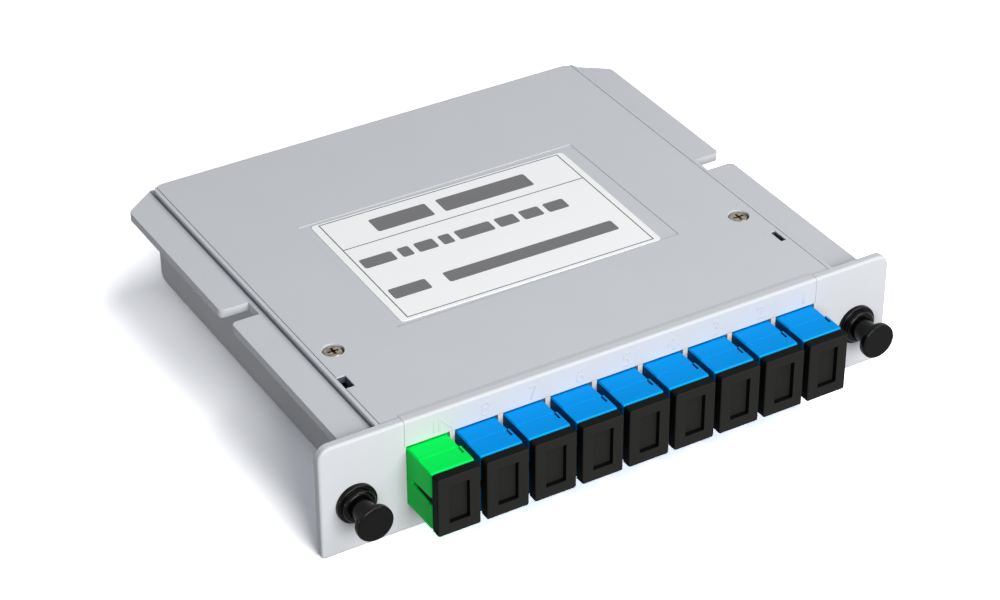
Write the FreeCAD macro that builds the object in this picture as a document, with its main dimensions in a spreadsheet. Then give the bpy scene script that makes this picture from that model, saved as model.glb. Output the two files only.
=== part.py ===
import FreeCAD, Part

import math
import os

import Sketcher
from FreeCAD import Vector

# A plug-in splitter cassette for optical fibre: a moulded box with an ear panel, a screwed cover,
# nine adapters with dust caps, two push-pull latches, and the splitter module with its fibres.
#
# Frame, in millimetres: X across the ears, Y from the panel towards the rear, Z up.
# Origin: on the underside, midway between the ears, in the plane of the ears' rear faces.

SIZES = {
    # the ear panel and the box
    "panel_height": 25.3,
    "panel_thickness": 1.8,
    "panel_top_corner_radius": 2.8,
    "panel_bottom_corner_radius": 0.8,
    "panel_edge_radius": 0.6,
    "ear_width": 13.0,
    "box_side_room": 2.95,
    "box_depth": 99.1,
    "box_corner_radius": 3.0,
    "box_bottom_radius": 5.0,
    "wall": 2.0,
    # the rails along both sides
    "rail_reach": 7.3,
    "rail_thickness": 1.87,
    "rail_below_top": 1.2,
    "rail_notch_from_panel": 45.8,
    "rail_notch_width": 4.8,
    "rail_left_at_notch": 1.1,
    "rail_notch_mouth_radius": 1.2,
    "rail_end_slant": 5.5,
    "rail_end_radius": 1.6,
    # the cover
    "cover_thickness": 1.8,
    "wall_strip": 0.8,
    "cover_gap": 0.1,
    "cover_left_gap": 0.22,
    "cover_right_gap": 0.03,
    "cover_lip_overhang": 0.3,
    "cover_below_lip": 0.12,
    "cover_rear_radius": 0.5,
    "label_recess_depth": 0.12,
    "label_recess_from_panel": 26.4,
    "snap_slot_from_panel": 13.4,
    "snap_slot_length": 4.0,
    "snap_slot_width": 2.0,
    "snap_slot_right_margin": 0.8,
    "snap_arm_thickness": 1.5,
    "snap_arm_length": 5.2,
    "snap_barb_height": 1.4,
    "snap_barb_bite": 0.7,
    "tongue_width": 8.0,
    "tongue_spacing": 56.0,
    # the label
    "label_width": 60.0,
    "label_length": 40.0,
    "label_thickness": 0.15,
    "label_corner_radius": 1.0,
    "label_centre_x": -0.9,
    "label_side_gap": 2.75,
    "label_front_gap": 0.65,
    "label_rear_gap": 1.35,
    "label_tilt_degrees": -0.9,
    # the cover screws
    "screw_from_wall": 2.8,
    "screw_from_panel": 25.9,
    "screw_recess_clearance": 0.2,
    "screw_head_below_top": 0.2,
    "screw_head_diameter": 4.1,
    "screw_head_height": 1.3,
    "screw_shank_diameter": 2.0,
    "screw_shank_length": 8.0,
    "screw_cross_width": 0.55,
    "screw_cross_length": 2.3,
    "screw_cross_depth": 0.8,
    "screw_boss_diameter": 6.0,
    "cover_pad_clearance": 0.2,
    "cover_pad_height": 0.9,
    # the adapters and the panel openings that hold them
    "port_gap": 1.2,
    "adapter_width": 9.3,
    "adapter_height": 13.0,
    "adapter_in_front": 9.5,
    "adapter_behind": 15.9,
    "adapter_edge_radius": 0.25,
    "adapter_front_radius": 0.7,
    "adapter_fit": 0.05,
    "adapter_headroom": 0.2,
    "socket_side_wall": 0.8,
    "socket_top_wall": 1.85,
    "collar_gap": 0.4,
    "collar_height": 16.0,
    "collar_thickness": 1.4,
    "collar_rib_thickness": 1.2,
    "side_relief_depth": 0.6,
    "side_relief_into_panel": 0.9,
    "side_relief_length": 5.3,
    "top_step_height": 0.1,
    "top_slit_length": 2.1,
    "top_slit_width": 0.45,
    "top_slit_depth": 0.5,
    "top_slit_inset": 0.55,
    "key_slot_length": 7.8,
    "key_slot_mouth": 2.1,
    "key_slot_end": 1.1,
    # inside each adapter
    "holder_plate_thickness": 1.2,
    "holder_tube_wall": 0.65,
    "holder_tube_length": 13.0,
    "holder_arm_width": 3.0,
    "holder_arm_thickness": 0.75,
    "holder_arm_length": 6.6,
    "holder_arm_gap": 0.3,
    "sleeve_wall": 0.34,
    "sleeve_fit": 0.01,
    "sleeve_length": 11.4,
    "sleeve_slit": 0.4,
    "inner_clearance": 0.05,
    # the plugs behind the adapters
    "plug_clearance": 0.15,
    "plug_wall": 0.7,
    "plug_nose_depth": 2.3,
    "plug_hollow_length": 9.4,
    "plug_behind_adapter": 7.3,
    "plug_groove": 1.0,
    "plug_groove_depth": 0.35,
    "ferrule_diameter": 2.5,
    "ferrule_length": 13.5,
    "boot_length": 15.0,
    "boot_root_diameter": 4.6,
    "boot_tip_diameter": 2.2,
    # the dust caps
    "cap_side_inset": 0.05,
    "cap_top_inset": 0.05,
    "cap_below_adapter": 0.35,
    "cap_thickness": 2.1,
    "cap_seat_gap": 0.1,
    "cap_corner_radius": 0.5,
    "cap_front_radius": 0.35,
    "cap_recess_width": 4.4,
    "cap_recess_height": 8.5,
    "cap_recess_depth": 1.1,
    "cap_skirt_length": 6.5,
    "cap_skirt_clearance": 0.1,
    "cap_skirt_wall": 0.7,
    "cap_key_inset": 0.3,
    "cap_key_gap": 0.5,
    # the push-pull latches
    "latch_from_box": 5.6,
    "latch_height": 10.9,
    "latch_hole_clearance": 0.1,
    "latch_hole_lead": 0.4,
    "grommet_flange_diameter": 8.5,
    "grommet_flange_thickness": 1.0,
    "grommet_flange_radius": 0.4,
    "grommet_collar_diameter": 7.0,
    "grommet_collar_height": 1.1,
    "grommet_collar_radius": 0.7,
    "grommet_neck_diameter": 6.0,
    "grommet_shank_diameter": 6.5,
    "grommet_shank_length": 5.5,
    "grommet_slit": 0.5,
    "plunger_diameter": 4.7,
    "plunger_clearance": 0.08,
    "knob_diameter": 7.7,
    "knob_thickness": 1.5,
    "knob_in_front": 7.9,
    "knob_edge_radius": 0.4,
    "plunger_tail": 3.5,
    "plunger_taper": 1.5,
    # the splitter module, its boots and its cradle
    "module_length": 50.0,
    "module_width": 8.4,
    "module_height": 4.0,
    "module_edge_radius": 0.4,
    "module_boot_length": 3.5,
    "module_boot_gap": 0.5,
    "module_boot_side_wall": 0.6,
    "module_boot_height": 3.0,
    "cradle_width": 3.0,
    "cradle_post": 1.6,
    "cradle_post_height": 3.2,
    "cradle_spacing": 36.0,
    "cradle_fit": 0.05,
    "cradle_rear_gap": 0.75,
    # the fibres
    "fibre_diameter": 0.9,
    "fibre_gap": 0.1,
    "loop_inner_radius": 12.0,
    "loop_wall_gap": 1.0,
    "fan_radius": 14.0,
    "rest_rib_thickness": 1.2,
    "rest_rib_ahead_of_loop": 20.0,
    "rest_rib_length": 12.0,
    "rest_rib_spacing": 21.0,
}

OUTPUTS = 8
PORTS = OUTPUTS + 1
OVERRUN = 1.0  # how far a cut runs past the face that it opens
DIAGONAL = math.sqrt(0.5)  # each coordinate's share of a length along a 45-degree line


# ---------------------------------------------------------------- sizes that follow the sheet
class Size:
    """A length from the sheet: its number now, and the expression that follows the sheet."""

    def __init__(self, number, text):
        self.number = number
        self.text = text

    def __add__(self, other):
        other = as_size(other)
        return Size(self.number + other.number, f"({self.text} + {other.text})")

    __radd__ = __add__

    def __sub__(self, other):
        other = as_size(other)
        return Size(self.number - other.number, f"({self.text} - {other.text})")

    def __rsub__(self, other):
        return as_size(other) - self

    def __mul__(self, other):
        other = as_size(other)
        return Size(self.number * other.number, f"({self.text} * {other.text})")

    __rmul__ = __mul__

    def __truediv__(self, other):
        other = as_size(other)
        return Size(self.number / other.number, f"({self.text} / {other.text})")

    def __neg__(self):
        return 0 - self


def as_size(value):
    if isinstance(value, Size):
        return value
    text = f"{abs(value):.9g}"
    return Size(float(value), text if value >= 0 else f"(0 - {text})")


def make_sheet(document):
    sheet = document.addObject("Spreadsheet::Sheet", "Sizes")
    for row, (alias, value) in enumerate(SIZES.items(), start=1):
        sheet.set(f"A{row}", alias.replace("_", " "))
        sheet.set(f"B{row}", str(value))
        sheet.setAlias(f"B{row}", alias)
    document.recompute()
    return {alias: Size(float(sheet.get(alias)), f"Sizes.{alias}") for alias in SIZES}


doc = FreeCAD.newDocument("splitter_cassette")
S = make_sheet(doc)

# the ports: a row of adapters, each plug a loose fit in its adapter's socket
port_pitch = S["adapter_width"] + S["port_gap"]
first_port_x = -port_pitch * (PORTS - 1) / 2
port_height = S["panel_height"] / 2
collar_width = port_pitch - S["collar_gap"]
socket_width = S["adapter_width"] - 2 * S["socket_side_wall"]
socket_height = S["adapter_height"] - 2 * S["socket_top_wall"]
plug_width = socket_width - 2 * S["plug_clearance"]
plug_height = socket_height - 2 * S["plug_clearance"]
adapter_front = -(S["panel_thickness"] + S["adapter_in_front"])
adapter_rear = S["adapter_behind"]
adapter_middle = (adapter_front + adapter_rear) / 2
plug_nose = adapter_middle + S["plug_nose_depth"]
plug_tail = adapter_rear + S["plug_behind_adapter"]
boot_end = plug_tail + S["boot_length"]
rib_front = S["collar_thickness"] + 4 * S["adapter_fit"]

# the box round the ports, and the cover set in between its walls
top = S["panel_height"]
inner_x = collar_width / 2 - first_port_x + S["box_side_room"]
inner_y = S["box_depth"] - S["wall"]
half_box = inner_x + S["wall"]
half_panel = half_box + S["ear_width"]
half_cover = half_box - S["wall_strip"] - S["cover_gap"]
cover_top = top - S["cover_below_lip"]
cover_bottom = top - S["cover_thickness"]
half_lip = S["adapter_width"] / 2 - first_port_x + S["cover_lip_overhang"]
lip_bottom = (port_height + S["adapter_height"] / 2 + 2 * S["adapter_fit"] + S["top_step_height"]
              + S["adapter_headroom"])
half_latches = half_box + S["latch_from_box"]

# the cover screws, their bosses and the pads above them
screw_x = inner_x - S["screw_from_wall"]
screw_recess_diameter = S["screw_head_diameter"] + 2 * S["screw_recess_clearance"]
screw_recess_depth = S["screw_head_height"] + S["screw_head_below_top"]
pad_diameter = 2 * (S["screw_from_wall"] - S["cover_pad_clearance"])
boss_top = cover_bottom - S["cover_pad_height"] - S["adapter_fit"]

# the splitter module along the rear wall, and the loop of fibres at its right
fibre_pitch = S["fibre_diameter"] + S["fibre_gap"]
fibre_bore = S["fibre_diameter"] + 2 * S["inner_clearance"]
loop_outer_radius = S["loop_inner_radius"] + fibre_pitch * (OUTPUTS - 1)
loop_x = inner_x - S["loop_wall_gap"] - loop_outer_radius
cradle_half_depth = S["module_width"] / 2 + S["cradle_fit"] + S["cradle_post"]
module_y = inner_y - S["cradle_rear_gap"] - cradle_half_depth
module_right = loop_x - S["module_boot_gap"] - S["module_boot_length"]
module_left = module_right - S["module_length"]
module_x = module_right - S["module_length"] / 2
module_bottom = port_height - S["module_height"] / 2
loop_y = module_y - (S["loop_inner_radius"] + loop_outer_radius) / 2


# ---------------------------------------------------------------- drawing helpers
def tie(thing, name, value):
    """Bind one property or constraint to the sheet."""
    thing.setExpression(name, as_size(value).text)


def new_body(label, x=0, y=0, z=0):
    body = doc.addObject("PartDesign::Body", label)
    body.Label = label
    for axis, value in (("x", x), ("y", y), ("z", z)):
        tie(body, f"Placement.Base.{axis}", value)
    return body


def origin_part(body, role):
    return next(item for item in body.Origin.OriginFeatures if item.Role == role)


def pin_points(sketch, points):
    """Fix points of a sketch, each (geometry, end, x, y), from the sketch's origin."""
    constraints = []
    for geometry, end, x, y in points:
        constraints.append(Sketcher.Constraint("DistanceX", -1, 1, geometry, end, as_size(x).number))
        constraints.append(Sketcher.Constraint("DistanceY", -1, 1, geometry, end, as_size(y).number))
    indices = sketch.addConstraint(constraints)
    values = [value for _, _, x, y in points for value in (x, y)]
    for index, value in zip(indices, values):
        tie(sketch, f"Constraints[{index}]", value)


def polygon(*points):
    """Draw a closed outline through the points."""
    def draw(sketch):
        corners = [Vector(as_size(x).number, as_size(y).number, 0) for x, y in points]
        first, count = sketch.GeometryCount, len(corners)
        lines = [Part.LineSegment(corners[i], corners[(i + 1) % count]) for i in range(count)]
        sketch.addGeometry(lines, False)
        sketch.addConstraint([
            Sketcher.Constraint("Coincident", first + i, 2, first + (i + 1) % count, 1)
            for i in range(count)])
        pin_points(sketch, [(first + i, 1, x, y) for i, (x, y) in enumerate(points)])
    return draw


def rectangle(left, right, low, high):
    return polygon((left, low), (right, low), (right, high), (left, high))


def centred_rectangle(width, height):
    return rectangle(-width / 2, width / 2, -height / 2, height / 2)


def circle(x, y, diameter):
    def draw(sketch):
        radius = as_size(diameter).number / 2
        centre = Vector(as_size(x).number, as_size(y).number, 0)
        index = sketch.addGeometry(Part.Circle(centre, Vector(0, 0, 1), radius), False)
        pin_points(sketch, [(index, 3, x, y)])
        constraint = sketch.addConstraint(Sketcher.Constraint("Diameter", index, 2 * radius))
        tie(sketch, f"Constraints[{constraint}]", diameter)
    return draw


def new_sketch(body, name, plane, offset, *outlines):
    sketch = body.newObject("Sketcher::SketchObject", name)
    sketch.AttachmentSupport = [(origin_part(body, plane), "")]
    sketch.MapMode = "FlatFace"
    tie(sketch, "AttachmentOffset.Base.z", offset)
    for draw in outlines:
        draw(sketch)
    return sketch


def prism(body, name, plane, low, high, *outlines, cut=False):
    """Pad or pocket the outlines between two levels of the plane's own axis."""
    along_normal = plane != "XZ_Plane"  # the normal of XZ points towards -Y
    start_low = along_normal != cut
    level = low if start_low else high
    offset = as_size(level) if along_normal else -as_size(level)
    sketch = new_sketch(body, f"{name}_sketch", plane, offset, *outlines)
    feature = body.newObject("PartDesign::Pocket" if cut else "PartDesign::Pad", name)
    feature.Profile = sketch
    tie(feature, "Length", as_size(high) - low)
    return feature


def add(body, name, plane, low, high, *outlines):
    return prism(body, name, plane, low, high, *outlines)


def cut(body, name, plane, low, high, *outlines):
    return prism(body, name, plane, low, high, *outlines, cut=True)


def turned(body, name, *profile):
    """Revolve a closed outline of (radius, y) points about the body's Y axis."""
    sketch = new_sketch(body, f"{name}_sketch", "XY_Plane", 0, polygon(*profile))
    feature = body.newObject("PartDesign::Revolution", name)
    feature.Profile = sketch
    feature.ReferenceAxis = (sketch, ["V_Axis"])
    feature.Angle = 360
    return feature


def row_of(body, name, features, count, length):
    """Repeat features along X."""
    pattern = body.newObject("PartDesign::LinearPattern", name)
    pattern.Originals = features
    pattern.Direction = (origin_part(body, "X_Axis"), [""])
    tie(pattern, "Length", length)
    pattern.Occurrences = count
    body.Tip = pattern
    return pattern


NEAR = 1e-3


def near(a, b):
    return abs(a - as_size(b).number) < NEAR


def span(edge):
    """Lowest and highest corner of an edge."""
    box = edge.BoundBox
    return (box.XMin, box.YMin, box.ZMin), (box.XMax, box.YMax, box.ZMax)


def runs_along(edge, axis):
    low, high = span(edge)
    return all(abs(high[i] - low[i]) < NEAR for i in range(3) if i != axis)


def soften(body, name, kind, radius, wanted):
    """Fillet or chamfer the tip's edges that the test picks out."""
    doc.recompute()
    base = body.Tip
    names = [f"Edge{i}" for i, edge in enumerate(base.Shape.Edges, start=1) if wanted(edge)]
    if not names:
        raise ValueError(f"{body.Label} {name}: no edge found")
    feature = body.newObject(f"PartDesign::{kind}", name)
    feature.Base = (base, names)
    tie(feature, "Radius" if kind == "Fillet" else "Size", radius)
    return feature


def port_x(index):
    return first_port_x + port_pitch * index


# ---------------------------------------------------------------- the box
def make_base_tray():
    """The moulded box, its ear panel and its rails: one piece, open at the top."""
    body = new_body("base_tray")
    depth, wall = S["box_depth"], S["wall"]

    add(body, "shell", "XY_Plane", 0, top, rectangle(-half_box, half_box, 0, depth))

    def underside(edge):
        _, high = span(edge)
        return near(high[2], 0) and not near(high[1], 0)
    soften(body, "shell_corners", "Fillet", S["box_corner_radius"],
           lambda edge: runs_along(edge, 2) and near(span(edge)[0][1], depth))
    block = soften(body, "shell_underside", "Fillet", S["box_bottom_radius"], underside)
    doc.recompute()
    hollow = body.newObject("PartDesign::Thickness", "hollow")
    hollow.Base = (block, [f"Face{i}" for i, face in enumerate(block.Shape.Faces, start=1)
                           if near(face.BoundBox.ZMin, top) or near(face.BoundBox.YMax, 0)])
    hollow.Reversed = True
    tie(hollow, "Value", wall)

    make_rails(body)

    front = -S["panel_thickness"]
    add(body, "panel", "XZ_Plane", front, 0, rectangle(-half_panel, half_panel, 0, top))

    def panel_corner(height):
        def wanted(edge):
            low, _ = span(edge)
            return (runs_along(edge, 1) and near(abs(low[0]), half_panel)
                    and near(low[2], height) and near(low[1], front))
        return wanted
    soften(body, "panel_top_corners", "Fillet", S["panel_top_corner_radius"], panel_corner(top))
    soften(body, "panel_bottom_corners", "Fillet", S["panel_bottom_corner_radius"], panel_corner(0))
    soften(body, "panel_front_edge", "Fillet", S["panel_edge_radius"],
           lambda edge: near(span(edge)[0][1], front) and near(span(edge)[1][1], front))

    half_opening = S["adapter_width"] / 2 + S["adapter_fit"]
    opening_low = port_height - S["adapter_height"] / 2 - S["adapter_fit"]
    opening = cut(body, "port_opening", "XZ_Plane", front - OVERRUN, OVERRUN,
                  rectangle(first_port_x - half_opening, first_port_x + half_opening,
                            opening_low, lip_bottom))
    row_of(body, "port_openings", [opening], PORTS, port_pitch * (PORTS - 1))
    half_gap = half_lip + S["adapter_fit"]
    cut(body, "lip_opening", "XZ_Plane", front - OVERRUN, OVERRUN,
        rectangle(-half_gap, half_gap, lip_bottom - S["adapter_fit"], top + OVERRUN))
    half_rebate = half_cover + S["cover_gap"]
    cut(body, "cover_rebate", "XY_Plane", cover_bottom, top + OVERRUN,
        rectangle(-half_rebate, half_rebate, 0, depth + OVERRUN))

    bury = wall / 2
    add(body, "collar_rib", "XY_Plane", bury, opening_low - S["adapter_fit"],
        rectangle(-half_lip, half_lip, rib_front, rib_front + S["collar_rib_thickness"]))
    add(body, "screw_bosses", "XY_Plane", bury, boss_top,
        *[circle(side * screw_x, S["screw_from_panel"], S["screw_boss_diameter"])
          for side in (-1, 1)])
    hole_depth = S["screw_shank_length"] + OVERRUN
    cut(body, "screw_holes", "XY_Plane", boss_top - hole_depth, boss_top,
        *[circle(side * screw_x, S["screw_from_panel"],
                 S["screw_shank_diameter"] + 2 * S["inner_clearance"]) for side in (-1, 1)])

    make_cradle(body, bury)
    make_rest_ribs(body, bury)
    make_catches(body)

    latch_hole = S["grommet_neck_diameter"] + 2 * S["latch_hole_clearance"]
    cut(body, "latch_holes", "XZ_Plane", front - OVERRUN, OVERRUN,
        *[circle(side * half_latches, S["latch_height"], latch_hole) for side in (-1, 1)])

    def rear_rim(edge):
        low, high = span(edge)
        return near(low[1], 0) and near(high[1], 0) and near(high[0] - low[0], latch_hole)
    soften(body, "latch_hole_leads", "Chamfer", S["latch_hole_lead"], rear_rim)
    return body


def make_rails(body):
    """A rail along each side, with a notch halfway and a slanted rear end."""
    depth, radius, wall = S["box_depth"], S["box_corner_radius"], S["wall"]
    rail_high = top - S["rail_below_top"]
    rail_x = half_box + S["rail_reach"]
    notch_x = half_box + S["rail_left_at_notch"]
    notch_start = S["rail_notch_from_panel"]
    notch_end = notch_start + S["rail_notch_width"]
    slant_start = depth - S["rail_end_slant"]
    centre_x, centre_y, mid = half_box - radius, depth - radius, radius - wall / 2
    diagonal = mid * DIAGONAL

    def rail(side):
        points = [(half_box - wall / 2, 0), (rail_x, 0), (rail_x, notch_start),
                  (notch_x, notch_start), (notch_x, notch_end), (rail_x, notch_end),
                  (rail_x, slant_start), (half_box, depth), (centre_x, depth),
                  (centre_x, centre_y + mid), (centre_x + diagonal, centre_y + diagonal),
                  (centre_x + mid, centre_y)]
        return polygon(*[(side * x, y) for x, y in points])
    add(body, "rails", "XY_Plane", rail_high - S["rail_thickness"], rail_high, rail(1), rail(-1))

    def upright_at(*places):
        def wanted(edge):
            low, _ = span(edge)
            return runs_along(edge, 2) and any(
                near(abs(low[0]), x) and near(low[1], y) for x, y in places)
        return wanted
    soften(body, "notch_mouths", "Fillet", S["rail_notch_mouth_radius"],
           upright_at((rail_x, notch_start), (rail_x, notch_end)))
    soften(body, "rail_ends", "Fillet", S["rail_end_radius"], upright_at((rail_x, slant_start)))


def make_cradle(body, bury):
    """Two saddles that hold the splitter module above the floor."""
    half_width = S["cradle_width"] / 2
    outer = cradle_half_depth
    inner = outer - S["cradle_post"]
    centres = [module_x + side * S["cradle_spacing"] / 2 for side in (-1, 1)]
    add(body, "cradle_saddles", "XY_Plane", bury, module_bottom,
        *[rectangle(x - half_width, x + half_width, module_y - outer, module_y + outer)
          for x in centres])
    post_top = module_bottom + S["cradle_post_height"]
    add(body, "cradle_posts", "XY_Plane", module_bottom - OVERRUN, post_top,
        *[rectangle(x - half_width, x + half_width, module_y + low, module_y + high)
          for x in centres for low, high in ((-outer, -inner), (inner, outer))])


def make_rest_ribs(body, bury):
    """Low ribs on the floor that the fibres cross."""
    start, half_rib = loop_y - S["rest_rib_ahead_of_loop"], S["rest_rib_thickness"] / 2
    rib_top = port_height - S["fibre_diameter"] / 2 - S["inner_clearance"]
    add(body, "rest_ribs", "XY_Plane", bury, rib_top,
        *[rectangle(step * S["rest_rib_spacing"] - half_rib, step * S["rest_rib_spacing"] + half_rib,
                    start, start + S["rest_rib_length"]) for step in (-1, 0, 1)])


def make_catches(body):
    """Blind pockets in the walls for the cover's side snaps and rear tongues."""
    pocket_top = cover_bottom - S["snap_arm_length"] + S["snap_barb_height"] + S["adapter_fit"]
    pocket_low = cover_bottom - S["snap_arm_length"] - S["adapter_fit"]
    deep = S["snap_barb_bite"] + S["cover_gap"]
    slot_start = S["snap_slot_from_panel"] - S["cover_gap"]
    slot_end = S["snap_slot_from_panel"] + S["snap_slot_length"] + S["cover_gap"]
    cut(body, "snap_pockets", "XY_Plane", pocket_low, pocket_top,
        *[polygon(*[(side * x, y) for x, y in (
            (inner_x - OVERRUN, slot_start), (inner_x + deep, slot_start),
            (inner_x + deep, slot_end), (inner_x - OVERRUN, slot_end))]) for side in (-1, 1)])
    half_tongue = S["tongue_width"] / 2 + S["cover_gap"]
    cut(body, "tongue_pockets", "XY_Plane", pocket_low, pocket_top,
        *[rectangle(side * S["tongue_spacing"] / 2 - half_tongue,
                    side * S["tongue_spacing"] / 2 + half_tongue,
                    inner_y - OVERRUN, inner_y + deep) for side in (-1, 1)])


def make_top_cover():
    """The lid: a plate set in between the wall strips, sloping up to a lip over the ports."""
    body = new_body("top_cover")
    depth, front = S["box_depth"], -S["panel_thickness"]
    add(body, "plate", "XY_Plane", cover_bottom, cover_top,
        rectangle(-half_box, half_box, S["cover_gap"], depth))
    soften(body, "plate_corners", "Fillet", S["box_corner_radius"],
           lambda edge: runs_along(edge, 2) and near(span(edge)[0][1], depth))
    soften(body, "plate_rear_edge", "Fillet", S["cover_rear_radius"],
           lambda edge: runs_along(edge, 0) and near(span(edge)[0][1], depth)
           and near(span(edge)[0][2], cover_top))
    for name, side, gap in (("left_edge", -1, S["cover_left_gap"]),
                            ("right_edge", 1, S["cover_right_gap"])):
        edges = sorted((side * (half_box - S["wall_strip"] - gap), side * (half_box + OVERRUN)),
                       key=lambda v: v.number)
        cut(body, name, "XY_Plane", cover_bottom - OVERRUN, top + OVERRUN,
            rectangle(edges[0], edges[1], 0, depth + OVERRUN))

    tail = S["cover_gap"] + OVERRUN
    add(body, "lip", "YZ_Plane", -half_lip, half_lip,
        polygon((front, lip_bottom), (0, lip_bottom), (0, cover_bottom), (tail, cover_bottom),
                (tail, cover_top), (0, top), (front, top)))
    soften(body, "lip_edge", "Fillet", S["panel_edge_radius"],
           lambda edge: runs_along(edge, 0) and near(span(edge)[0][1], front)
           and near(span(edge)[0][2], top))

    bury = S["cover_thickness"] / 2
    add(body, "collar_rib", "XY_Plane", lip_bottom, cover_bottom + bury,
        rectangle(-half_lip, half_lip, rib_front, rib_front + S["collar_rib_thickness"]))
    add(body, "screw_pads", "XY_Plane", cover_bottom - S["cover_pad_height"], cover_bottom + bury,
        *[circle(side * screw_x, S["screw_from_panel"], pad_diameter)
          for side in (-1, 1)])
    cut(body, "screw_recesses", "XY_Plane", cover_top - screw_recess_depth, top + OVERRUN,
        *[circle(side * screw_x, S["screw_from_panel"], screw_recess_diameter)
          for side in (-1, 1)])
    cut(body, "screw_holes", "XY_Plane", cover_bottom - S["cover_pad_height"] - OVERRUN, top,
        *[circle(side * screw_x, S["screw_from_panel"],
                 S["screw_shank_diameter"] + 4 * S["inner_clearance"]) for side in (-1, 1)])

    recess_start = S["label_recess_from_panel"]
    recess_end = recess_start + S["label_front_gap"] + S["label_length"] + S["label_rear_gap"]
    half_recess = S["label_width"] / 2 + S["label_side_gap"]
    cut(body, "label_recess", "XY_Plane", cover_top - S["label_recess_depth"], top + OVERRUN,
        rectangle(-half_recess, half_recess, recess_start, recess_end))
    make_snaps(body, bury)
    return body


def make_snaps(body, bury):
    """Side snaps under their slots, and two tongues that hook into the rear wall."""
    arm_low = cover_bottom - S["snap_arm_length"]
    barb_top = arm_low + S["snap_barb_height"]
    slot_start = S["snap_slot_from_panel"]
    slot_end = slot_start + S["snap_slot_length"]
    slot_inner = half_cover - S["snap_slot_width"]
    arm_outer = slot_inner
    arm_inner = arm_outer - S["snap_arm_thickness"]
    barb_tip = inner_x + S["snap_barb_bite"]
    for name, side, slot_outer in (("left", -1, half_cover + OVERRUN),
                                   ("right", 1, half_cover - S["snap_slot_right_margin"])):
        cut(body, f"{name}_snap_slot", "XY_Plane", cover_bottom - OVERRUN, top + OVERRUN,
            polygon(*[(side * x, y) for x, y in (
                (slot_inner, slot_start), (slot_outer, slot_start),
                (slot_outer, slot_end), (slot_inner, slot_end))]))
        add(body, f"{name}_snap_arm", "XZ_Plane", slot_start, slot_end,
            polygon(*[(side * x, z) for x, z in (
                (arm_inner, arm_low), (arm_outer, arm_low), (barb_tip, barb_top - S["cover_gap"]),
                (barb_tip, barb_top), (arm_outer, barb_top), (arm_outer, cover_bottom + bury),
                (arm_inner, cover_bottom + bury))]))
    face = inner_y - S["cover_gap"]
    rear_tip = inner_y + S["snap_barb_bite"]
    back = face - S["snap_arm_thickness"]
    half_tongue = S["tongue_width"] / 2
    for name, side in (("left", -1), ("right", 1)):
        centre = side * S["tongue_spacing"] / 2
        add(body, f"{name}_tongue", "YZ_Plane", centre - half_tongue, centre + half_tongue,
            polygon((back, arm_low), (face, arm_low), (rear_tip, barb_top - S["cover_gap"]),
                    (rear_tip, barb_top), (face, barb_top), (face, cover_bottom + bury),
                    (back, cover_bottom + bury)))


def make_label():
    """The self-adhesive label, slightly askew in its recess."""
    centre_y = S["label_recess_from_panel"] + S["label_front_gap"] + S["label_length"] / 2
    body = new_body("label", S["label_centre_x"], centre_y, cover_top - S["label_recess_depth"])
    body.Placement.Rotation = FreeCAD.Rotation(Vector(0, 0, 1), S["label_tilt_degrees"].number)
    add(body, "sheet", "XY_Plane", 0, S["label_thickness"],
        centred_rectangle(S["label_width"], S["label_length"]))
    soften(body, "corners", "Fillet", S["label_corner_radius"], lambda edge: runs_along(edge, 2))
    return body


def make_cover_screw(label, side):
    """A cross-recess pan-head screw, sunk in the cover."""
    seat = cover_top - screw_recess_depth
    body = new_body(label, side * screw_x, S["screw_from_panel"], seat)
    head, shank = S["screw_head_diameter"], S["screw_shank_diameter"]
    add(body, "head", "XY_Plane", 0, S["screw_head_height"], circle(0, 0, head))
    soften(body, "head_edge", "Fillet", S["screw_head_height"] / 2,
           lambda edge: near(span(edge)[0][2], S["screw_head_height"]))
    add(body, "shank", "XY_Plane", -S["screw_shank_length"], S["screw_head_height"] / 2,
        circle(0, 0, shank))
    soften(body, "shank_point", "Chamfer", shank / 4,
           lambda edge: near(span(edge)[1][2], -S["screw_shank_length"]))
    long, thin = S["screw_cross_length"], S["screw_cross_width"]
    for name, width, length in (("slot_x", long, thin), ("slot_y", thin, long)):
        cut(body, name, "XY_Plane", S["screw_head_height"] - S["screw_cross_depth"],
            S["screw_head_height"] + OVERRUN, centred_rectangle(width, length))
    return body


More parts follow.
